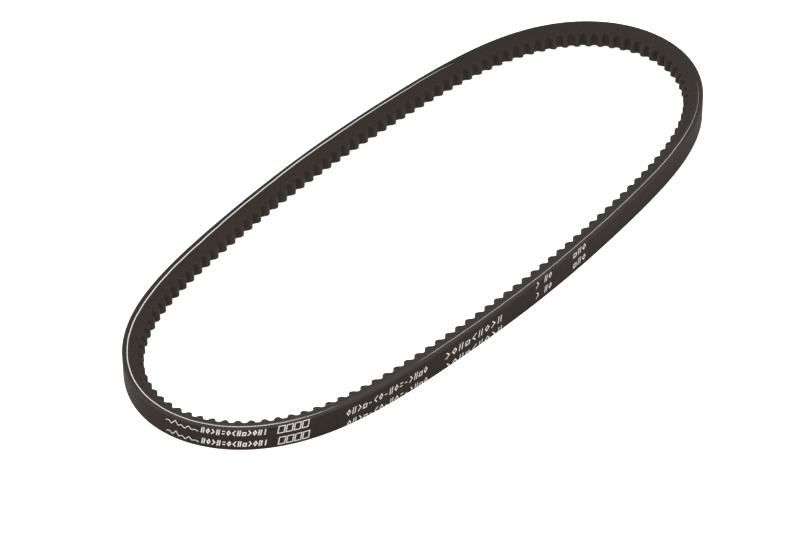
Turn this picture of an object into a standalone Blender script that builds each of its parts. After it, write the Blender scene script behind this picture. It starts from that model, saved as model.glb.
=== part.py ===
"""Raw-edge cogged V-belt, 10 mm top width, 675 mm round the back, lying on its side.

The belt is a ring of bonded layers. From the back inwards they are a canvas cover, an upper
adhesion gum, a ply of tension cord, a lower adhesion gum, the moulded compression rubber and a
canvas facing over its cogs. The rubber bends everywhere, so each layer is laid in seven lengths
that meet at cog notches. Six of those notches are flex lines, where one length turns on the next
about the line of the cord. The seventh is a seam, whose two sides always move together.

The origin is under the middle of the loop, on the surface that the belt lies on. X runs along the
loop's long axis, Y across it, and Z up, along the belt's width.
"""

import math

import bmesh
import bpy
from mathutils import Vector

# Driving dimensions, in metres and radians.
BACK_LENGTH = 0.675  # round the outside of the belt
TOP_WIDTH = 0.010  # across the back
BELT_HEIGHT = 0.0075  # from the back to the tips of the cogs
FLANK_ANGLE = math.radians(20)  # half of the 40 degree wedge
COG_COUNT = 130

# The loop's free shape. Its tangent turns evenly, plus these two waves for each half turn.
OVAL_WAVE = 0.606
SQUARE_WAVE = 0.104

# Thickness of each layer, and the slit between one layer and the next.
CANVAS = 0.0007
UPPER_GUM = 0.0005
CORD_DIAMETER = 0.0008
LOWER_GUM = 0.0005
COG_CANVAS = 0.0004
SLIT = 0.00012

# The cord is wound side by side, and the dip that coats it joins each turn to the next.
CORD_TURNS = 8
CORD_SPACING = 0.001
DIP_THICKNESS = 0.0003

# One cog, measured along the back for its length and through the belt for its depth.
COG_HEIGHT = 0.0021
COG_TIP_LENGTH = 0.0015
NOTCH_FLOOR_LENGTH = 0.0017

# Flexing. Notches count from the +X end of the loop, anticlockwise seen from above.
BEND_NOTCHES = 14  # from the end of the loop to the shoulder where a run starts
SEAM_NOTCH = 32
SHOULDER_TURN = math.radians(10)  # each way
END_TURN = 2 * SHOULDER_TURN
FLEX_CLEARANCE = 0.00012
SEAM_GAP = 0.0003

FACET_SAG = 0.00008  # how far a layer's flat facets may stand off its curve
TABLE_STEPS = 24 * COG_COUNT

# Worked out from the dimensions above.
PITCH = BACK_LENGTH / COG_COUNT
HALF_LOOP = COG_COUNT // 2
CORD_TOP = CANVAS + SLIT + UPPER_GUM + SLIT
CORD_LINE = CORD_TOP + CORD_DIAMETER / 2
LOWER_GUM_TOP = CORD_TOP + CORD_DIAMETER + SLIT
RUBBER_TOP = LOWER_GUM_TOP + LOWER_GUM + SLIT
ROOT_DEPTH = BELT_HEIGHT - COG_HEIGHT

# Each length of the belt: its name, first and last notch, the length it turns on, and the notch
# that it turns at. The near run turns on nothing.
LEFT_END, RIGHT_END = HALF_LOOP, 0
LENGTHS = (
    ("near_run", LEFT_END + BEND_NOTCHES, COG_COUNT - BEND_NOTCHES, None, None),
    ("left_near_bend", LEFT_END, LEFT_END + BEND_NOTCHES, "near_run", LEFT_END + BEND_NOTCHES),
    ("left_far_bend", LEFT_END - BEND_NOTCHES, LEFT_END, "left_near_bend", LEFT_END),
    ("far_run_left", SEAM_NOTCH, LEFT_END - BEND_NOTCHES, "left_far_bend", LEFT_END - BEND_NOTCHES),
    ("right_near_bend", COG_COUNT - BEND_NOTCHES, COG_COUNT, "near_run", COG_COUNT - BEND_NOTCHES),
    ("right_far_bend", RIGHT_END, BEND_NOTCHES, "right_near_bend", RIGHT_END),
    ("far_run_right", BEND_NOTCHES, SEAM_NOTCH, "right_far_bend", BEND_NOTCHES),
)


def tangent_angle(along):
    """Direction of travel at a distance along the back from the loop's +X end."""
    turn = 2 * math.pi * along / BACK_LENGTH
    waves = OVAL_WAVE * math.sin(2 * turn) + SQUARE_WAVE * math.sin(4 * turn)
    return math.pi / 2 + turn + waves


def curvature(along):
    """How fast the direction of travel turns at a distance along the back, in radians a metre."""
    turn = 2 * math.pi * along / BACK_LENGTH
    waves = 2 * OVAL_WAVE * math.cos(2 * turn) + 4 * SQUARE_WAVE * math.cos(4 * turn)
    return (1 + waves) * 2 * math.pi / BACK_LENGTH


def walk_loop():
    """Points of the back's outline at even steps, with the loop's centre at the origin."""
    step = BACK_LENGTH / TABLE_STEPS
    points = [Vector((0, 0))]
    for i in range(TABLE_STEPS):
        angle = tangent_angle((i + 0.5) * step)
        points.append(points[-1] + step * Vector((math.cos(angle), math.sin(angle))))
    centre = (points[0] + points[TABLE_STEPS // 2]) / 2
    return [point - centre for point in points]


OUTLINE = walk_loop()


def back_point(along):
    """The point of the back's outline at a distance along it."""
    place = along / BACK_LENGTH % 1 * TABLE_STEPS
    before = int(place)
    return OUTLINE[before].lerp(OUTLINE[before + 1], place - before)


def belt_point(along, depth, height):
    """A point at a distance along the back, a depth under it and a height over the surface."""
    angle = tangent_angle(along)
    flat = back_point(along) + depth * Vector((-math.sin(angle), math.cos(angle)))
    return Vector((*flat, height))


def flank_heights(depth):
    """The heights of the lower and the upper flank at a depth under the back."""
    rise = depth * math.tan(FLANK_ANGLE)
    return rise, TOP_WIDTH - rise


def slab_ring(along, outer, inner):
    """Four corners of a layer's cross-section, whose sides are the belt's own raw flanks."""
    corners = []
    for depth, heights in ((outer, flank_heights(outer)), (inner, reversed(flank_heights(inner)))):
        corners += [belt_point(along, depth, height) for height in heights]
    return corners


def cord_ring(along):
    """The cross-section of the cord ply: one diamond for each turn, joined by the dip."""
    radius, dip = CORD_DIAMETER / 2, DIP_THICKNESS / 2
    edge = (TOP_WIDTH - CORD_TURNS * CORD_SPACING) / 2
    outer_side = []
    for turn in range(CORD_TURNS):
        height = edge + (turn + 0.5) * CORD_SPACING
        outer_side.append((height, radius))
        if turn < CORD_TURNS - 1:
            outer_side.append((height + CORD_SPACING / 2, dip))
    inner_side = [(height, -reach) for height, reach in reversed(outer_side)]
    profile = [(edge, 0), *outer_side, (TOP_WIDTH - edge, 0), *inner_side]
    return [belt_point(along, CORD_LINE - reach, height) for height, reach in profile]


def turn_at(notch):
    """The largest turn that the belt makes at a notch where two lengths meet."""
    if notch == SEAM_NOTCH:
        return 0
    return END_TURN if notch % HALF_LOOP == 0 else SHOULDER_TURN


def half_gap(notch, outer, inner):
    """Half of the gap a layer needs at a notch, so that its two ends clear each other when it turns.

    It is measured along the back, and on the inside of a bend a layer is shorter than the back.
    """
    if notch == SEAM_NOTCH:
        return SEAM_GAP / 2
    reach = max(abs(outer - CORD_LINE), abs(inner - CORD_LINE))
    shortening = 1 - inner * curvature(notch * PITCH)
    return (reach * math.sin(turn_at(notch)) + FLEX_CLEARANCE) / 2 / shortening


def smooth_stations(first, last):
    """Distances along the back, at notches, that keep flat facets within FACET_SAG of the curve."""
    stations = [first * PITCH]
    for notch in range(first + 1, last):
        step = (notch + 1) * PITCH - stations[-1]
        turned = tangent_angle((notch + 1) * PITCH) - tangent_angle(stations[-1])
        if step * turned / 8 > FACET_SAG:
            stations.append(notch * PITCH)
    return [*stations, last * PITCH]


def ends_pulled_in(stations, first, last, outer, inner):
    """The same stations with the first and last moved in to leave the flex gaps."""
    return [
        stations[0] + half_gap(first, outer, inner),
        *stations[1:-1],
        stations[-1] - half_gap(last, outer, inner),
    ]


def cog_stations(first, last, inset):
    """(distance, depth) of the corners of each cog, with the whole cog surface set in by inset."""
    wall_angle = math.atan2(PITCH / 2 - (NOTCH_FLOOR_LENGTH + COG_TIP_LENGTH) / 2, COG_HEIGHT)
    shift = inset * math.tan((math.pi / 2 - wall_angle) / 2)
    floor_half = NOTCH_FLOOR_LENGTH / 2 + shift
    tip_half = COG_TIP_LENGTH / 2 - shift
    root, tip = ROOT_DEPTH - inset, BELT_HEIGHT - inset
    stations = [(first * PITCH, root)]
    for notch in range(first, last):
        start = notch * PITCH
        stations += [
            (start + floor_half, root),
            (start + PITCH / 2 - tip_half, tip),
            (start + PITCH / 2 + tip_half, tip),
            (start + PITCH - floor_half, root),
        ]
    return [*stations, (last * PITCH, root)]


def loft(name, rings, material):
    """A closed solid through cross-sections that all have the same number of points."""
    mesh = bpy.data.meshes.new(name)
    bm = bmesh.new()
    loops = [[bm.verts.new(point) for point in ring] for ring in rings]
    count = len(rings[0])
    for here, there in zip(loops, loops[1:]):
        for i in range(count):
            j = (i + 1) % count
            bm.faces.new((here[i], here[j], there[j], there[i]))
    bm.faces.new(loops[0])
    bm.faces.new(loops[-1])
    bmesh.ops.recalc_face_normals(bm, faces=bm.faces)
    bm.to_mesh(mesh)
    bm.free()
    mesh.materials.append(material)
    obj = bpy.data.objects.new(name, mesh)
    bpy.context.collection.objects.link(obj)
    return obj


def slab(name, first, last, outer, inner, material):
    """A layer of even thickness, from one notch to another."""
    stations = ends_pulled_in(smooth_stations(first, last), first, last, outer, inner)
    return loft(name, [slab_ring(along, outer, inner) for along in stations], material)


def back_canvas(name, first, last, material):
    return slab(name, first, last, 0, CANVAS, material)


def upper_adhesion_gum(name, first, last, material):
    outer = CANVAS + SLIT
    return slab(name, first, last, outer, outer + UPPER_GUM, material)


def tension_cord_ply(name, first, last, material):
    stations = smooth_stations(first, last)
    stations = ends_pulled_in(stations, first, last, CORD_TOP, CORD_TOP + CORD_DIAMETER)
    return loft(name, [cord_ring(along) for along in stations], material)


def lower_adhesion_gum(name, first, last, material):
    return slab(name, first, last, LOWER_GUM_TOP, LOWER_GUM_TOP + LOWER_GUM, material)


def cogged_layer(name, first, last, outer_stations, inner_stations, material):
    """A layer whose inner side follows the cogs. Its two lists of stations match, one to one."""
    gap_first, gap_last = (half_gap(notch, CORD_LINE, ROOT_DEPTH) for notch in (first, last))
    rings = []
    for i, ((outer_along, outer), (inner_along, inner)) in enumerate(zip(outer_stations, inner_stations)):
        if i == 0:
            outer_along = inner_along = inner_along + gap_first
        if i == len(inner_stations) - 1:
            outer_along = inner_along = inner_along - gap_last
        outer_side = slab_ring(outer_along, outer, outer)[:2]
        inner_side = slab_ring(inner_along, inner, inner)[2:]
        rings.append(outer_side + inner_side)
    return loft(name, rings, material)


def compression_rubber(name, first, last, material):
    inner = cog_stations(first, last, COG_CANVAS + SLIT)
    outer = [(along, RUBBER_TOP) for along, _ in inner]
    return cogged_layer(name, first, last, outer, inner, material)


def cog_canvas(name, first, last, material):
    inner = cog_stations(first, last, 0)
    outer = cog_stations(first, last, COG_CANVAS)
    return cogged_layer(name, first, last, outer, inner, material)


# Each layer: what makes it, and its material's colour, roughness and metallic value.
LAYERS = (
    (back_canvas, (0.022, 0.020, 0.020), 0.62, 0.0),
    (upper_adhesion_gum, (0.018, 0.016, 0.016), 0.70, 0.0),
    (tension_cord_ply, (0.62, 0.58, 0.52), 0.80, 0.0),
    (lower_adhesion_gum, (0.018, 0.016, 0.016), 0.70, 0.0),
    (compression_rubber, (0.026, 0.022, 0.021), 0.78, 0.0),
    (cog_canvas, (0.024, 0.022, 0.022), 0.85, 0.0),
)


def layer_material(name, colour, roughness, metallic):
    material = bpy.data.materials.new(name)
    material.use_nodes = True
    shader = material.node_tree.nodes["Principled BSDF"]
    shader.inputs["Base Color"].default_value = (*colour, 1.0)
    shader.inputs["Roughness"].default_value = roughness
    shader.inputs["Metallic"].default_value = metallic
    return material


def flex_line(name, parent, notch):
    """An empty on the axis that a length turns about, or at the origin for the length that stays."""
    empty = bpy.data.objects.new(name + "_pivot", None)
    bpy.context.collection.objects.link(empty)
    place = Vector((0, 0, 0)) if notch is None else belt_point(notch * PITCH, CORD_LINE, 0)
    if parent is None:
        empty.location = place
    else:
        empty.parent = parent
        empty.location = place - pivot_place(parent)
    return empty


def pivot_place(empty):
    """Where a pivot stands in the world. The pivots only shift, so their locations add up."""
    place = Vector((0, 0, 0))
    while empty is not None:
        place += empty.location
        empty = empty.parent
    return place


def hang_on(obj, pivot):
    """Parents a piece to its pivot and keeps it where it is."""
    place = pivot_place(pivot)
    for vertex in obj.data.vertices:
        vertex.co -= place
    obj.parent = pivot


def main():
    for obj in list(bpy.data.objects):
        bpy.data.objects.remove(obj)
    materials = {make: layer_material(make.__name__, *finish) for make, *finish in LAYERS}
    pivots = {}
    for length, first, last, turns_on, notch in LENGTHS:
        pivots[length] = flex_line(length, pivots.get(turns_on), notch)
        for make, *_ in LAYERS:
            piece = make(f"{length}_{make.__name__}", first, last, materials[make])
            hang_on(piece, pivots[length])


main()
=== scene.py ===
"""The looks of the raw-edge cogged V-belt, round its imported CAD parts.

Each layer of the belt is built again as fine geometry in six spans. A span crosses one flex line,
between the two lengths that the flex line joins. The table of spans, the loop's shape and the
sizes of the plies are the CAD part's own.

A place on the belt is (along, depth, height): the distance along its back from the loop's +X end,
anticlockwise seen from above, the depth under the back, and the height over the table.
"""

import math

import bmesh
import bpy
import numpy as np
from mathutils import Matrix, Vector


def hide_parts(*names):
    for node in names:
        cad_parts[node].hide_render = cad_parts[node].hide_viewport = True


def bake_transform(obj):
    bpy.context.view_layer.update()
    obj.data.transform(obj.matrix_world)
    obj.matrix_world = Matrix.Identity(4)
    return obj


# The belt's sizes, in metres and radians.
BACK_LENGTH = 0.675
TOP_WIDTH = 0.010
BELT_HEIGHT = 0.0075
FLANK_ANGLE = math.radians(20)
COG_COUNT = 130
PITCH = BACK_LENGTH / COG_COUNT
OVAL_WAVE = 0.606  # the loop's free shape, as two waves in the turning of its tangent
SQUARE_WAVE = 0.104
TABLE_STEPS = 52 * COG_COUNT  # how finely the loop's outline is tabled

# Where each layer ends, as a depth under the back.
CANVAS_DEPTH = 0.0007
GUM_DEPTH = 0.00298
CORD_LINE = 0.00184
ROOT_DEPTH = 0.0054
COG_CANVAS = 0.0004

# One moulded cog.
NOTCH_FLOOR_LENGTH = 0.0015
COG_TIP_LENGTH = 0.00145
NOTCH_FILLET = 0.0006
COG_TIP_FILLET = 0.00115
FILLET_STEPS = 5
FLOOR_SHARE = 0.3  # a point this far along half a notch floor keeps the floor flat

# How far the cut edges of the two canvases are eased, and how finely the plies are built.
CUT_EDGE_RADIUS = 0.00012
BACK_EDGE_RADIUS = 0.0003
BACK_EDGE_STEPS = 3
PLY_STEP = PITCH / 4
SHARP_ANGLE = math.radians(42)  # edges that turn by more than this stay crisp

# The cord where the flank was cut through it.
CORD_DIAMETER = 0.0008
CORD_LAY = 0.0042  # one twist of its three strands
CORD_CROWN = 0.00004  # how far the cut fibres stand proud
CORD_STEP = 0.0003
CORD_HIDDEN = 0.02  # below this share of its diameter the cord stays under the rubber
CORD_BEADING = 0.14  # how much narrower the slice is between two strands
CORD_RIPPLE = 0.25  # how far the strands stand out, in crowns
CORD_LEAN = 2.2  # how far they lean over half a width, in radians of their wave
CORD_FILLING = 1.6  # how soon the crown is full as more of the cord shows
CORD_LEAST_CROWN = 0.2
CORD_WANDER = ((0.00004, 0.037), (0.00003, 0.011))  # how far it strays, and over what length

# The section of the slice: places across it in half widths, and how far each rises in crowns.
CORD_ACROSS = (-1.0, -0.75, -0.3, 0.3, 0.75, 1.0, 0.6, -0.6)
CORD_RISE = (-0.4, 0.55, 1.0, 1.0, 0.55, -0.4, -6.0, -6.0)

# Where the knife has laid the cord open: places round the loop, how wide the cord shows there as a
# share of its diameter, and how much nearer to the back it runs. The ends are the same place.
CORD_SHOWS = (
    (0.0, 0.0, 0.0), (0.13, 0.0, 0.0), (0.15, 0.22, 0.00035), (0.19, 0.4, 0.0004),
    (0.26, 0.54, 0.0004), (0.31, 0.56, 0.0003), (0.36, 0.6, 0.0001), (0.44, 0.53, 0.0),
    (0.5, 0.78, 0.0), (0.56, 0.86, 0.0), (0.59, 0.2, 0.0), (0.6, 0.0, 0.0),
    (0.65, 0.0, 0.0), (0.665, 0.28, 0.0), (0.88, 0.31, 0.0), (0.92, 0.12, 0.0001),
    (0.955, 0.0, 0.0), (1.0, 0.0, 0.0),
)

# The ink on the back.
INK_THICKNESS = 0.00002
INK_SINK = 0.00002
INK_SLICE = 0.0006  # the marks are sliced this finely, to follow the bend
MARK_SLANT = 0.2
MARK_SHARE = 0.74  # the share of its place that a figure fills
SAME_POINT = 1e-7  # corners closer than this are one
NEAR_MIDDLE = 0.75 * BACK_LENGTH  # the middle of the near run, as a distance along the back

# The camera, in metres and radians. Its lens and sensor are in millimetres.
LENS_MM = 172.08
SENSOR_MM = 36
CAMERA_AZIMUTH = math.radians(-49.72)
CAMERA_ELEVATION = math.radians(39.2)
CAMERA_ROLL = math.radians(-0.75)
CAMERA_DISTANCE = 1.4042
CAMERA_SIDEWAYS = 0.00899
CAMERA_UPWARDS = 0.01247

# The studio: places and sizes in metres, powers in watts.
OVERHEAD_PLACE, OVERHEAD_POWER = (-0.3, 0.5, 1.3), 9.0
FRONT_PLACE, FRONT_POWER = (-1.0, -0.9, 0.7), 2.5
SOFTBOX_SIZE = 0.9
FLOOR_REACH = 5.0
FLOOR_GREY = 0.93
FLOOR_ROUGHNESS = 0.8
FLOOR_GLOW = 0.85
WHITE = (1.0, 1.0, 1.0, 1.0)

# Colours, as linear red, green and blue.
BACK_DARK = (0.0155, 0.0115, 0.0098)
BACK_LIGHT = (0.0225, 0.0170, 0.0147)
BACK_THREAD = (0.044, 0.035, 0.030)
CUT_THREAD = (0.058, 0.051, 0.046)
# The back's cut rim: pale frayed threads, and a painted highlight where the rounded rim catches
# light.
BACK_RIM_FRAY_AND_HIGHLIGHT = (0.046, 0.040, 0.036)
SHEEN_TINT = (1.0, 0.87, 0.76, 1.0)
GUM_DARK = (0.014, 0.010, 0.009)
GUM_LIGHT = (0.024, 0.018, 0.016)
FLANK_DARK = (0.018, 0.013, 0.011)
FLANK_LIGHT = (0.027, 0.021, 0.018)
FLANK_FIBRE = (0.080, 0.067, 0.059)
COG_DARK = (0.018, 0.0135, 0.0115)
COG_LIGHT = (0.027, 0.021, 0.018)
COG_THREAD = (0.036, 0.029, 0.025)
CORD_SHADE = (0.56, 0.53, 0.50)
CORD_WHITE = (0.86, 0.83, 0.81)
INK_SHADE = (0.36, 0.34, 0.32)
INK_WHITE = (0.64, 0.61, 0.58)

# How glossy each surface is, as the shader's specular level.
BACK_GLOSS = 0.03
GUM_GLOSS = 0.18
FLANK_GLOSS = 0.15
COG_GLOSS = 0.15
CORD_GLOSS = 0.25
INK_GLOSS = 0.5

# How far apart the threads of the two canvases are.
BACK_WEAVE_MM = 0.62
COG_WEAVE_MM = 0.5

# Each span: its name, first and last notch, the lengths of belt on either side of its flex line,
# the flex line's notch, and how many notches to each side the bending spreads over.
SPANS = (
    ("far_right", 7, 32, "right_far_bend", "far_run_right", 14, 6),
    ("far_left", 32, 58, "far_run_left", "left_far_bend", 51, 6),
    ("left_end", 58, 72, "left_far_bend", "left_near_bend", 65, 5),
    ("near_left", 72, 98, "left_near_bend", "near_run", 79, 6),
    ("near_right", 98, 123, "near_run", "right_near_bend", 116, 6),
    ("right_end", 123, 137, "right_near_bend", "right_far_bend", 130, 5),
)


def tangent_angle(along):
    turn = 2 * np.pi * np.asarray(along) / BACK_LENGTH
    return np.pi / 2 + turn + OVAL_WAVE * np.sin(2 * turn) + SQUARE_WAVE * np.sin(4 * turn)


def walk_loop():
    """Points of the back's outline at even steps, with the loop's centre at the origin."""
    step = BACK_LENGTH / TABLE_STEPS
    angles = tangent_angle((np.arange(TABLE_STEPS) + 0.5) * step)
    moves = step * np.stack([np.cos(angles), np.sin(angles)], axis=1)
    points = np.concatenate([np.zeros((1, 2)), np.cumsum(moves, axis=0)])
    return points - (points[0] + points[TABLE_STEPS // 2]) / 2


OUTLINE = walk_loop()


def belt_points(along, depth, height):
    """World positions of places on the belt. The three arguments are arrays of one shape."""
    along, depth, height = np.broadcast_arrays(along, depth, height)
    place = along / BACK_LENGTH % 1 * TABLE_STEPS
    before = place.astype(int)
    share = (place - before)[..., None]
    back = OUTLINE[before] * (1 - share) + OUTLINE[before + 1] * share
    angle = tangent_angle(along)
    inward = np.stack([-np.sin(angle), np.cos(angle)], axis=-1)
    return np.concatenate([back + depth[..., None] * inward, height[..., None]], axis=-1)


def flank_rise(depth):
    return depth * math.tan(FLANK_ANGLE)


def fillet(before, corner, after, radius, steps):
    """Points of the arc that rounds a corner of a flat outline."""
    before, corner, after = (np.asarray(point, float) for point in (before, corner, after))
    back = (before - corner) / np.linalg.norm(before - corner)
    ahead = (after - corner) / np.linalg.norm(after - corner)
    half = math.acos(np.clip(back @ ahead, -1, 1)) / 2
    middle = (back + ahead) / np.linalg.norm(back + ahead)
    centre = corner + middle * radius / math.sin(half)
    first = corner + back * radius / math.tan(half) - centre
    last = corner + ahead * radius / math.tan(half) - centre
    sweep = math.atan2(first[0] * last[1] - first[1] * last[0], first @ last)
    turns = np.linspace(0, sweep, steps + 1)
    across = np.array([-first[1], first[0]])
    return [centre + first * math.cos(turn) + across * math.sin(turn) for turn in turns]


def cog_outline():
    """(distance, depth) round one cog's outer side, from one notch's middle to the next."""
    wall_foot, wall_head = NOTCH_FLOOR_LENGTH / 2, (PITCH - COG_TIP_LENGTH) / 2
    foot, head = np.array([wall_foot, ROOT_DEPTH]), np.array([wall_head, BELT_HEIGHT])
    start, middle = np.array([0, ROOT_DEPTH]), np.array([PITCH / 2, BELT_HEIGHT])
    half = [start, start + [wall_foot * FLOOR_SHARE, 0]]
    half += fillet(start, foot, head, NOTCH_FILLET, FILLET_STEPS)
    half += [(foot + head) / 2]
    half += fillet(foot, head, middle, COG_TIP_FILLET, FILLET_STEPS)
    half = np.array(half)
    mirrored = half[::-1] * [-1, 1] + [PITCH, 0]
    return np.concatenate([half, mirrored[:-1]])


def cogs(first, last):
    """(distance, depth) round all the cogs from one notch to another, and the same for the
    surface that lies one thickness of canvas behind them."""
    one = cog_outline()
    outline = np.concatenate([one + [notch * PITCH, 0] for notch in range(first, last)])
    outline = np.concatenate([outline, [[last * PITCH, ROOT_DEPTH]]])
    overrun = np.array([PITCH / 10, 0])
    padded = np.concatenate([outline[:1] - overrun, outline, outline[-1:] + overrun])
    ahead = padded[2:] - padded[:-2]
    ahead /= np.linalg.norm(ahead, axis=1)[:, None]
    behind = outline + COG_CANVAS * np.stack([ahead[:, 1], -ahead[:, 0]], axis=1)
    return outline, behind


def running_length(points):
    return np.concatenate([[0], np.cumsum(np.linalg.norm(np.diff(points, axis=0), axis=1))])


def ring_piece(name, rings, along, across, edge, material):
    """A closed piece through rings of points, with a UV map in metres and its cut edges marked."""
    count, size = rings.shape[:2]
    i, j = np.meshgrid(np.arange(count - 1), np.arange(size), indexing="ij")
    k = (j + 1) % size
    near, far = i * size, (i + 1) * size
    quads = np.stack([near + j, near + k, far + k, far + j], axis=-1).reshape(-1, 4)
    us = np.stack([along[i], along[i], along[i + 1], along[i + 1]], axis=-1).reshape(-1, 4)
    vs = np.stack([across[j], across[j + 1], across[j + 1], across[j]], axis=-1).reshape(-1, 4)
    points = rings.reshape(-1, 3)
    a, b, c = (points[quads[:, n]] for n in (0, 1, 2))
    volume = np.einsum("ij,ij->i", a, np.cross(b, c)).sum()
    caps = [list(range(size))[::-1], list(range((count - 1) * size, count * size))]
    if volume < 0:
        quads, us, vs = quads[:, ::-1], us[:, ::-1], vs[:, ::-1]
        caps = [cap[::-1] for cap in caps]
    mesh = bpy.data.meshes.new(name)
    mesh.from_pydata(points.tolist(), [], quads.tolist() + caps)
    uv = mesh.uv_layers.new(name="belt")
    no_caps = np.zeros((2 * size, 2))
    flat = np.concatenate([np.stack([us, vs], axis=-1).reshape(-1, 2), no_caps])
    uv.data.foreach_set("uv", flat.astype(np.float32).ravel())
    marks = mesh.attributes.new("cut_edge", "FLOAT", "POINT")
    marked = np.broadcast_to(edge, (count, size)).astype(np.float32)
    marks.data.foreach_set("value", marked.ravel())
    mesh.materials.append(material)
    mesh.shade_smooth()
    mesh.set_sharp_from_angle(angle=SHARP_ANGLE)
    obj = bpy.data.objects.new(name, mesh)
    bpy.context.collection.objects.link(obj)
    return obj


def bend_over(obj, span):
    """Bakes the piece's transform into its mesh. The piece is not bent about its span's flex line.
    """
    _, _, _, before, after, notch, spread = span
    edges = [(notch - spread) * PITCH, (notch + spread) * PITCH]
    start, end = belt_points(edges, CORD_LINE, TOP_WIDTH / 2)
    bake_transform(obj)
    return obj


def stands_for(obj, span, *layers):
    """The piece hides these layers of the two lengths that it spans."""
    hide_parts(*(f"{length}_{layer}" for length in span[3:5] for layer in layers))
    return obj


def even_stations(span, step):
    first, last = span[1] * PITCH, span[2] * PITCH
    return np.linspace(first, last, round((last - first) / step) + 1)


def wedge_profile(outer, inner, rounded_outer):
    """(depth, height) and edge mark round a ply's cross-section, from its inner lower corner."""
    corners = [(inner, flank_rise(inner)), (outer, flank_rise(outer))]
    corners += [(depth, TOP_WIDTH - height) for depth, height in reversed(corners)]
    if not rounded_outer:
        return np.array(corners), np.ones(4)
    low = fillet(*corners[:3], BACK_EDGE_RADIUS, BACK_EDGE_STEPS)
    high = fillet(*corners[1:], BACK_EDGE_RADIUS, BACK_EDGE_STEPS)
    margin = np.array([0, BACK_EDGE_RADIUS])
    face = [low[-1] + margin, high[0] - margin]
    profile = np.array([corners[0], *low, *face, *high, corners[3]])
    marked = [1.0] * (BACK_EDGE_STEPS + 2)
    return profile, np.array(marked + [0.0, 0.0] + marked)


def ply(layer_name, span, outer, inner, rounded_outer, material):
    """A layer of even thickness over one span."""
    profile, edge = wedge_profile(outer, inner, rounded_outer)
    along = even_stations(span, PLY_STEP)
    rings = belt_points(along[:, None], profile[None, :, 0], profile[None, :, 1])
    across = running_length(np.concatenate([profile, profile[:1]]))
    return ring_piece(f"{layer_name}_{span[0]}", rings, along, across, edge, material)


def compression_rubber(span, material):
    """The body of the belt, between the gum and the cog canvas. Its inner side follows the cogs."""
    _, behind = cogs(span[1], span[2])
    along = behind[:, 0][:, None]
    outer, inner = np.full((len(behind), 1), GUM_DEPTH), behind[:, 1][:, None]
    depth = np.concatenate([inner, outer, outer, inner], axis=1)
    rise = flank_rise(depth)
    height = np.where([True, True, False, False], rise, TOP_WIDTH - rise)
    rings = belt_points(along, depth, height)
    # The lower flank, the outer side, the upper flank and the side that the cog canvas covers.
    across = np.array([0, 0.004, 0.012, 0.016, 0.022])
    name = f"compression_rubber_{span[0]}"
    return ring_piece(name, rings, behind[:, 0], across, np.zeros(4), material)


def cog_canvas(span, material):
    """The fabric that faces the cogs, with its two cut edges eased."""
    front, behind = cogs(span[1], span[2])
    ease = CUT_EDGE_RADIUS
    share = ease / COG_CANVAS
    shoulder = front * (1 - share) + behind * share
    rows = [behind, shoulder, front, front]
    along = np.stack([row[:, 0] for row in rows + rows[::-1]], axis=1)
    depth = np.stack([row[:, 1] for row in rows + rows[::-1]], axis=1)
    rise = flank_rise(depth)
    inset = np.array([0, 0, ease, 5 * ease])
    low = rise[:, :4] + inset
    high = TOP_WIDTH - rise[:, 4:] - inset[::-1]
    rings = belt_points(along, depth, np.concatenate([low, high], axis=1))
    edge = np.array([1.0, 1.0, 1.0, 0.0, 0.0, 1.0, 1.0, 1.0])
    # The lower cut edge, the face between its eased rims, the upper cut edge and the hidden side.
    across = np.array([0, 0.0003, 0.0004, 0.0009, 0.0058, 0.0063, 0.0064, 0.0067, 0.014])
    travelled = running_length(front) + span[1] * PITCH
    return ring_piece(f"cog_canvas_{span[0]}", rings, travelled, across, edge, material)


def cord_slice(span, upper, material):
    """The cord where the cut flank has laid it open: three twisted strands, sliced lengthwise."""
    along = even_stations(span, CORD_STEP)
    places, shares, offsets = np.array(CORD_SHOWS).T
    round_loop = (along / BACK_LENGTH if upper else along / BACK_LENGTH + 0.5) % 1
    shown = np.interp(round_loop, places, shares)
    line = CORD_LINE - np.interp(round_loop, places, offsets)
    twist = 2 * np.pi * along / CORD_LAY
    beading = 1 - CORD_BEADING * (0.5 + 0.5 * np.cos(3 * twist))
    wander = sum(reach * np.sin(2 * np.pi * along / length) for reach, length in CORD_WANDER)
    half = CORD_DIAMETER / 2 * np.clip(shown, CORD_HIDDEN, 1) * beading
    across, crown = np.array(CORD_ACROSS), np.array(CORD_RISE)
    strands = np.sin(3 * twist[:, None] + CORD_LEAN * across[None, :])
    ripple = CORD_RIPPLE * strands * (crown > 0)
    fullness = np.clip(shown * CORD_FILLING, CORD_LEAST_CROWN, 1)
    proud = CORD_CROWN * (crown[None, :] + ripple) * fullness[:, None]
    proud -= np.where(shown < CORD_HIDDEN, CORD_CROWN, 0)[:, None]
    to_side = half[:, None] * across[None, :] * math.cos(FLANK_ANGLE)
    in_flank = (line + wander)[:, None] + to_side
    depth = in_flank + proud * math.sin(FLANK_ANGLE)
    rise = flank_rise(in_flank) - proud * math.cos(FLANK_ANGLE)
    height = TOP_WIDTH - rise if upper else rise
    rings = belt_points(along[:, None], depth, height)
    corners = len(CORD_ACROSS)
    uv_across = np.arange(corners + 1) * CORD_DIAMETER / 5
    name = f"cord_upper_{span[0]}" if upper else f"cord_lower_{span[0]}"
    return ring_piece(name, rings, along, uv_across, np.zeros(corners), material)


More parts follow.
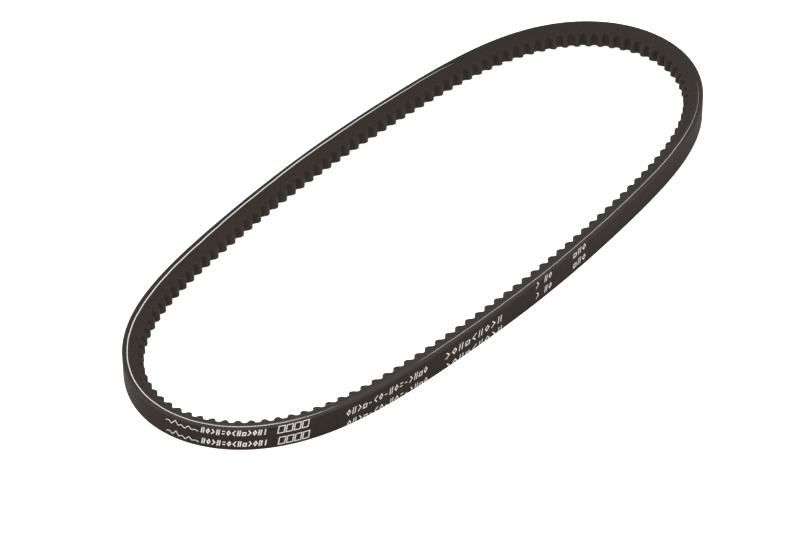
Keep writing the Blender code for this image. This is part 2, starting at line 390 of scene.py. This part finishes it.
# Ink marks are bands of flat quads in millimetres: x to the right as the belt is read, y up from
# the foot of the row. They are plain figures and spell nothing.
def band(points, width, closed=False):
    """Quads along a line of points, mitred at its corners."""
    points = np.array(points, float)
    sides = []
    for i, point in enumerate(points):
        steps = []
        if closed or i > 0:
            steps.append(point - points[i - 1])
        if closed or i < len(points) - 1:
            steps.append(points[(i + 1) % len(points)] - point)
        normals = [np.array([-step[1], step[0]]) / np.linalg.norm(step) for step in steps]
        mitre = sum(normals)
        mitre *= width / 2 / (mitre @ normals[0])
        sides.append((point - mitre, point + mitre))
    ahead = sides[1:] + sides[:1] if closed else sides[1:]
    return [
        [low, next_low, next_high, high]
        for (low, high), (next_low, next_high) in zip(sides, ahead)
    ]


# Each figure: lines in a unit box, and whether they close on themselves.
FIGURES = {
    "d": ([[(0.1, 0.5), (0.5, 0.86), (0.9, 0.5), (0.5, 0.14)]], True),
    "b": ([[(0.2, 0.0), (0.2, 1.0)], [(0.75, 0.0), (0.75, 1.0)]], False),
    "i": ([[(0.45, 0.0), (0.45, 1.0)]], False),
    "r": ([[(0.15, 0.95), (0.8, 0.5), (0.15, 0.05)]], False),
    "l": ([[(0.85, 0.95), (0.2, 0.5), (0.85, 0.05)]], False),
    "q": ([[(0.12, 0.1), (0.88, 0.1), (0.88, 0.62), (0.12, 0.62)]], True),
    "s": ([[(0.1, 0.3), (0.9, 0.3)], [(0.1, 0.75), (0.9, 0.75)]], False),
    "-": ([[(0.15, 0.42), (0.75, 0.42)]], False),
    " ": ([], False),
}


def code_marks(pattern, pitch, tall, width):
    """A row of plain figures, spaced by pitch, this tall and drawn with lines of this width."""
    quads = []
    for place, kind in enumerate(pattern):
        lines, closed = FIGURES[kind]
        for line in lines:
            points = [((place + MARK_SHARE * x) * pitch, y * tall) for x, y in line]
            quads += band(points, width, closed)
    return quads


def boxes_mark():
    """Four plain boxes in a row."""
    width, foot, head, line = 2.2, 0.3, 3.3, 0.36
    quads = []
    for left in (0.3, 3.2, 6.1, 9.0):
        right = left + width
        corners = [(left, foot), (right, foot), (right, head), (left, head)]
        quads += band(corners, line, closed=True)
    return quads


def thin_wave():
    """A thin zigzag line."""
    step, line = 1.3, 0.3
    heights = (1.2, 1.7, 0.7, 2.7, 0.9, 1.7, 0.6, 2.2, 1.0, 1.4, 0.9)
    return band([(step * i, height) for i, height in enumerate(heights)], line)


# Each group of marks: its name, the span that carries it, how far its left end is from the middle
# of the near run towards the -X end, the heights of the feet of its two rows, and its quads.
INK_GROUPS = (
    ("ink_wave", "left_end", 0.167, (0.0011, 0.0060), thin_wave()),
    ("ink_bold_marks", "left_end", 0.153, (0.0018, 0.0067),
     code_marks("bdrbsdlbqrdbi", 1.81, 2.5, 0.44)),
    ("ink_boxes", "near_left", 0.1265, (0.0012, 0.0062), boxes_mark()),
    ("ink_long_code", "near_left", 0.1005, (0.0044, -0.0005),
     code_marks("dbrq-ld-bds-rbqd", 2.32, 2.9, 0.36)),
    ("ink_size_code", "near_left", 0.055, (0.0042, -0.0007),
     code_marks("rdbqlbdrb", 3.38, 2.9, 0.42)),
    ("ink_short_code", "near_left", 0.0067, (0.0070, 0.0022),
     code_marks("r bd", 2.4, 2.8, 0.38)),
    ("ink_end_code", "near_right", -0.0153, (0.0070, 0.0023),
     code_marks("qbd", 2.75, 2.8, 0.4)),
)


def cut_flat(bm, place, normal, clear_outer=False):
    geometry = bm.verts[:] + bm.edges[:] + bm.faces[:]
    bmesh.ops.bisect_plane(
        bm, geom=geometry, dist=SAME_POINT, plane_co=place, plane_no=normal, clear_outer=clear_outer
    )


def corner_numbers(part):
    return sorted(vert.index for vert in part.verts)


def put_in_order(bm):
    """Numbers the parts by place, because bmesh numbers what it makes differently in each run."""
    orders = (
        (bm.verts, lambda vert: tuple(vert.co)),
        (bm.edges, corner_numbers),
        (bm.faces, corner_numbers),
    )
    for parts, place in orders:
        for number, part in enumerate(sorted(parts, key=place)):
            part.index = number
        parts.sort()
        parts.index_update()


def ink(name, span, from_middle, feet, quads, material):
    """Thin flakes of ink on the back, in two rows that the belt's cut edges clip."""
    bm = bmesh.new()
    for foot in feet:
        for quad in quads:
            points = [Vector((x + MARK_SLANT * y, y, 0)) / 1000 for x, y in quad]
            start = Vector((NEAR_MIDDLE - from_middle, foot, 0))
            bm.faces.new([bm.verts.new(point + start) for point in points])
    bmesh.ops.remove_doubles(bm, verts=bm.verts, dist=SAME_POINT)
    for limit, side in ((BACK_EDGE_RADIUS, -1), (TOP_WIDTH - BACK_EDGE_RADIUS, 1)):
        cut_flat(bm, Vector((0, limit, 0)), Vector((0, side, 0)), clear_outer=True)
    along = [vertex.co.x for vertex in bm.verts]
    for place in np.arange(min(along) + INK_SLICE, max(along), INK_SLICE):
        cut_flat(bm, Vector((place, 0, 0)), Vector((1, 0, 0)))
    made = bmesh.ops.extrude_face_region(bm, geom=bm.faces[:], use_keep_orig=True)
    for vertex in bm.verts:
        vertex.co.z = -INK_SINK
    for item in made["geom"]:
        if isinstance(item, bmesh.types.BMVert):
            item.co.z = INK_THICKNESS
    bmesh.ops.recalc_face_normals(bm, faces=bm.faces)
    put_in_order(bm)
    mesh = bpy.data.meshes.new(name)
    bm.to_mesh(mesh)
    bm.free()
    flat = np.zeros(len(mesh.vertices) * 3, np.float32)
    mesh.vertices.foreach_get("co", flat)
    flat = flat.reshape(-1, 3).astype(float)
    corner = np.zeros(len(mesh.loops), np.int32)
    mesh.loops.foreach_get("vertex_index", corner)
    uv = mesh.uv_layers.new(name="belt")
    uv.data.foreach_set("uv", flat[corner, :2].astype(np.float32).ravel())
    world = belt_points(flat[:, 0], -flat[:, 2], flat[:, 1])
    mesh.vertices.foreach_set("co", world.astype(np.float32).ravel())
    mesh.materials.append(material)
    mesh.update()
    obj = bpy.data.objects.new(name, mesh)
    bpy.context.collection.objects.link(obj)
    return bend_over(obj, span)


class Shading:
    """Builds one node material. Its methods return sockets, and sizes are in millimetres."""

    def __init__(self, name, gloss):
        self.material = bpy.data.materials.new(name)
        self.material.use_nodes = True
        self.tree = self.material.node_tree
        self.shader = self.tree.nodes["Principled BSDF"]
        self.shader.inputs["Specular IOR Level"].default_value = gloss
        self.shader.inputs["Specular Tint"].default_value = SHEEN_TINT
        uv = self.node("ShaderNodeUVMap", uv_map="belt")
        scaling = {0: uv.outputs[0], "Scale": 1000.0}
        self.place = self.node("ShaderNodeVectorMath", scaling, operation="SCALE")

    def node(self, kind, inputs=None, **settings):
        made = self.tree.nodes.new(kind)
        for name, value in settings.items():
            setattr(made, name, value)
        for name, value in (inputs or {}).items():
            if isinstance(value, bpy.types.NodeSocket):
                self.tree.links.new(value, made.inputs[name])
            else:
                made.inputs[name].default_value = value
        return made

    def mapped(self, scale, turn=0.0):
        place = self.place.outputs[0]
        inputs = {"Vector": place, "Scale": (*scale, 1.0), "Rotation": (0.0, 0.0, turn)}
        return self.node("ShaderNodeMapping", inputs).outputs[0]

    def noise(self, scale, detail=3.0, roughness=0.55, turn=0.0):
        """Noise with this many features a millimetre along and across the belt."""
        inputs = {"Vector": self.mapped(scale, turn), "Scale": 1.0}
        inputs.update({"Detail": detail, "Roughness": roughness})
        return self.node("ShaderNodeTexNoise", inputs).outputs["Fac"]

    def threads(self, turn, spacing):
        """Rounded ridges that cross the belt at an angle, spacing apart."""
        scale = math.pi / 10 / spacing  # at a scale of 1 the ridges are pi / 10 apart
        inputs = {"Vector": self.mapped((1.0, 1.0), turn), "Scale": scale}
        inputs.update({"Distortion": 0.6, "Detail": 1.0, "Detail Scale": 1.5})
        return self.node("ShaderNodeTexWave", inputs).outputs["Fac"]

    def weave(self, turn, spacing):
        """Threads at this angle in degrees, crossed by threads at a right angle to them."""
        first = self.threads(math.radians(turn), spacing)
        return self.math("MULTIPLY", first, self.threads(math.radians(turn - 90), spacing))

    def math(self, operation, first, second):
        inputs = {0: first, 1: second}
        return self.node("ShaderNodeMath", inputs, operation=operation).outputs[0]

    def ramp(self, value, low, high, to_low=0.0, to_high=1.0):
        inputs = {"Value": value, "From Min": low, "From Max": high}
        inputs.update({"To Min": to_low, "To Max": to_high})
        return self.node("ShaderNodeMapRange", inputs).outputs["Result"]

    def blend(self, share, first, second):
        """A colour between two colours."""
        made = self.node("ShaderNodeMix", data_type="RGBA")
        for socket, value in ((0, share), (6, first), (7, second)):
            if isinstance(value, bpy.types.NodeSocket):
                self.tree.links.new(value, made.inputs[socket])
            else:
                made.inputs[socket].default_value = (*value, 1.0) if socket else value
        return made.outputs[2]

    def cut_edge(self):
        return self.node("ShaderNodeAttribute", attribute_name="cut_edge").outputs["Fac"]

    def finish(self, colour, roughness, height, depth_mm):
        inputs = {"Height": height, "Distance": depth_mm / 1000, "Strength": 1.0}
        bump = self.node("ShaderNodeBump", inputs)
        self.tree.links.new(colour, self.shader.inputs["Base Color"])
        self.tree.links.new(roughness, self.shader.inputs["Roughness"])
        self.tree.links.new(bump.outputs[0], self.shader.inputs["Normal"])
        return self.material


def back_canvas_material():
    """Bias-cut square weave, smoothed over with rubber. Its cut edge is paler: frayed threads,
    and a painted highlight along the rounded rim.
    """
    look = Shading("back_canvas", BACK_GLOSS)
    weave = look.weave(45, BACK_WEAVE_MM)
    smear = look.noise((0.35, 0.5), detail=4.0)
    grain = look.noise((6.0, 6.0), detail=4.0, roughness=0.65)
    colour = look.blend(look.ramp(smear, 0.35, 0.7), BACK_DARK, BACK_LIGHT)
    bare = look.ramp(look.math("MULTIPLY", weave, grain), 0.22, 0.55, to_high=0.5)
    colour = look.blend(bare, colour, BACK_THREAD)
    # The cut rim is paler: frayed threads, with a painted highlight along the rounded edge.
    pale_rim = look.math("MULTIPLY", look.cut_edge(), look.ramp(grain, 0.3, 0.6, to_low=0.3))
    colour = look.blend(pale_rim, colour, BACK_RIM_FRAY_AND_HIGHLIGHT)
    roughness = look.ramp(look.math("ADD", smear, grain), 0.7, 1.3, to_low=0.52, to_high=0.72)
    height = look.math("ADD", look.math("MULTIPLY", weave, 0.8), look.math("MULTIPLY", grain, 0.5))
    return look.finish(colour, roughness, height, depth_mm=0.05)


def gum_material():
    """Plain rubber with the faint streaks of the knife."""
    look = Shading("adhesion_gum", GUM_GLOSS)
    streaks = look.noise((0.25, 9.0), detail=3.0)
    grain = look.noise((7.0, 7.0), detail=3.0)
    colour = look.blend(look.ramp(streaks, 0.35, 0.7), GUM_DARK, GUM_LIGHT)
    roughness = look.ramp(grain, 0.3, 0.7, to_low=0.5, to_high=0.66)
    height = look.math("ADD", streaks, look.math("MULTIPLY", grain, 0.5))
    return look.finish(colour, roughness, height, depth_mm=0.02)


def flank_material():
    """Ground rubber: streaks along the belt, and the pale ends of short fibres."""
    look = Shading("compression_rubber", FLANK_GLOSS)
    streaks = look.noise((0.3, 7.0), detail=4.0)
    mottle = look.noise((0.6, 0.9), detail=3.0)
    grain = look.noise((5.0, 7.0), detail=4.0, roughness=0.7)
    fibres = look.ramp(look.noise((3.0, 11.0), detail=2.0), 0.62, 0.74)
    colour = look.blend(look.ramp(mottle, 0.3, 0.7), FLANK_DARK, FLANK_LIGHT)
    colour = look.blend(look.math("MULTIPLY", fibres, 0.45), colour, FLANK_FIBRE)
    roughness = look.ramp(look.math("ADD", streaks, grain), 0.7, 1.3, to_low=0.62, to_high=0.82)
    height = look.math("ADD", look.math("ADD", streaks, fibres), grain)
    return look.finish(colour, roughness, height, depth_mm=0.025)


def cog_canvas_material():
    """Close-woven fabric with rubber struck through it, paler where its edge was cut."""
    look = Shading("cog_canvas", COG_GLOSS)
    weave = look.weave(90, COG_WEAVE_MM)
    grain = look.noise((6.0, 6.0), detail=4.0, roughness=0.65)
    smear = look.noise((0.4, 0.3), detail=3.0)
    colour = look.blend(look.ramp(smear, 0.3, 0.7), COG_DARK, COG_LIGHT)
    colour = look.blend(look.math("MULTIPLY", weave, 0.4), colour, COG_THREAD)
    pale_rim = look.math("MULTIPLY", look.cut_edge(), look.ramp(grain, 0.4, 0.75, to_high=0.6))
    colour = look.blend(pale_rim, colour, CUT_THREAD)
    roughness = look.ramp(grain, 0.3, 0.7, to_low=0.66, to_high=0.86)
    height = look.math("ADD", weave, look.math("MULTIPLY", grain, 0.6))
    return look.finish(colour, roughness, height, depth_mm=0.05)


def cord_material():
    """Cut white filaments that lean with the twist, dirtied with rubber."""
    look = Shading("tension_cord", CORD_GLOSS)
    filaments = look.noise((1.6, 16.0), detail=3.0, turn=math.radians(18))
    strands = look.threads(math.radians(28), CORD_LAY * 1000 / 3 * 0.8)
    dirt = look.noise((1.1, 2.0), detail=4.0, roughness=0.65)
    colour = look.blend(look.ramp(filaments, 0.3, 0.7), CORD_SHADE, CORD_WHITE)
    colour = look.blend(look.ramp(strands, 0.0, 0.3, to_low=0.35, to_high=0.0), colour, GUM_LIGHT)
    colour = look.blend(look.ramp(dirt, 0.58, 0.72, to_high=0.7), colour, GUM_LIGHT)
    roughness = look.ramp(filaments, 0.3, 0.7, to_low=0.7, to_high=0.9)
    height = look.math("ADD", filaments, strands)
    return look.finish(colour, roughness, height, depth_mm=0.03)


def ink_material():
    """Thin white print that the weave breaks up, worn through in places."""
    look = Shading("ink", INK_GLOSS)
    weave = look.weave(45, BACK_WEAVE_MM)
    speckle = look.noise((5.0, 5.0), detail=4.0, roughness=0.7)
    patches = look.noise((0.5, 0.9), detail=2.0)
    worn = look.math("ADD", look.math("MULTIPLY", patches, 0.5), speckle)
    worn = look.math("ADD", worn, look.math("MULTIPLY", weave, -0.12))
    colour = look.blend(look.ramp(speckle, 0.3, 0.7), INK_SHADE, INK_WHITE)
    colour = look.blend(look.ramp(worn, 0.82, 0.98), colour, BACK_LIGHT)
    roughness = look.ramp(speckle, 0.3, 0.7, to_low=0.5, to_high=0.7)
    return look.finish(colour, roughness, weave, depth_mm=0.02)


def camera():
    """The camera of the main view. It rolls about its line of sight, and stands off to the side
    by CAMERA_SIDEWAYS and CAMERA_UPWARDS, so that the belt sits where it does in the frame."""
    azimuth, elevation, roll = CAMERA_AZIMUTH, CAMERA_ELEVATION, CAMERA_ROLL
    reach = math.cos(elevation)
    back = Vector((math.sin(azimuth) * reach, -math.cos(azimuth) * reach, math.sin(elevation)))
    level = Vector((math.cos(azimuth), math.sin(azimuth), 0))
    steep = back.cross(level)
    right = math.cos(roll) * level + math.sin(roll) * steep
    up = back.cross(right)
    data = bpy.data.cameras.new("camera")
    data.sensor_width = SENSOR_MM
    data.lens = LENS_MM
    obj = bpy.data.objects.new("camera", data)
    bpy.context.collection.objects.link(obj)
    place = CAMERA_DISTANCE * back - CAMERA_SIDEWAYS * right - CAMERA_UPWARDS * up
    facing = Matrix((right, up, back)).transposed().to_4x4()
    obj.matrix_world = Matrix.Translation(place) @ facing
    bpy.context.scene.camera = obj


def softbox(name, place, power):
    """A square light that faces the middle of the belt."""
    data = bpy.data.lights.new(name, "AREA")
    data.size = SOFTBOX_SIZE
    data.energy = power
    obj = bpy.data.objects.new(name, data)
    bpy.context.collection.objects.link(obj)
    obj.location = place
    obj.rotation_mode = "QUATERNION"
    obj.rotation_quaternion = (-Vector(place)).to_track_quat("-Z", "Y")


def studio():
    """A white floor in soft light from all round, with a softbox high over the far side and a
    weaker one low in front."""
    world = bpy.data.worlds.new("studio")
    world.use_nodes = True
    surround = world.node_tree.nodes["Background"]
    surround.inputs["Color"].default_value = WHITE
    surround.inputs["Strength"].default_value = 1.0
    bpy.context.scene.world = world
    softbox("overhead_softbox", OVERHEAD_PLACE, OVERHEAD_POWER)
    softbox("front_softbox", FRONT_PLACE, FRONT_POWER)
    mesh = bpy.data.meshes.new("floor")
    square = ((-1, -1), (1, -1), (1, 1), (-1, 1))
    corners = [(x * FLOOR_REACH, y * FLOOR_REACH, 0) for x, y in square]
    mesh.from_pydata(corners, [], [(0, 1, 2, 3)])
    floor = bpy.data.objects.new("floor", mesh)
    bpy.context.collection.objects.link(floor)
    material = bpy.data.materials.new("floor")
    material.use_nodes = True
    shader = material.node_tree.nodes["Principled BSDF"]
    shader.inputs["Base Color"].default_value = (FLOOR_GREY, FLOOR_GREY, FLOOR_GREY, 1.0)
    shader.inputs["Roughness"].default_value = FLOOR_ROUGHNESS
    shader.inputs["Emission Color"].default_value = WHITE
    shader.inputs["Emission Strength"].default_value = FLOOR_GLOW
    mesh.materials.append(material)


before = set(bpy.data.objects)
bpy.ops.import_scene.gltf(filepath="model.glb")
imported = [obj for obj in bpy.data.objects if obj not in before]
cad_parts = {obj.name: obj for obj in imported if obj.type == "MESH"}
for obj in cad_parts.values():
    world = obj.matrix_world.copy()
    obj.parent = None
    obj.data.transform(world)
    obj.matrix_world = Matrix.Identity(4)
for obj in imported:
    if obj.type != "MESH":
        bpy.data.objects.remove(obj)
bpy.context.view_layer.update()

canvas, gum, cord_white = back_canvas_material(), gum_material(), cord_material()
flank, facing, print_ink = flank_material(), cog_canvas_material(), ink_material()

for span in SPANS:
    piece = ply("back_canvas", span, 0.0, CANVAS_DEPTH, True, canvas)
    stands_for(bend_over(piece, span), span, "back_canvas")
    piece = ply("adhesion_gum", span, CANVAS_DEPTH, GUM_DEPTH, False, gum)
    stands_for(bend_over(piece, span), span, "upper_adhesion_gum", "lower_adhesion_gum")
    piece = compression_rubber(span, flank)
    stands_for(bend_over(piece, span), span, "compression_rubber")
    piece = cog_canvas(span, facing)
    stands_for(bend_over(piece, span), span, "cog_canvas")
    for upper in (True, False):
        piece = cord_slice(span, upper, cord_white)
        stands_for(bend_over(piece, span), span, "tension_cord_ply")

span_named = {span[0]: span for span in SPANS}
for name, span_name, from_middle, feet, quads in INK_GROUPS:
    ink(name, span_named[span_name], from_middle, feet, quads, print_ink)

camera()
studio()
bpy.context.scene.view_settings.view_transform = "Standard"
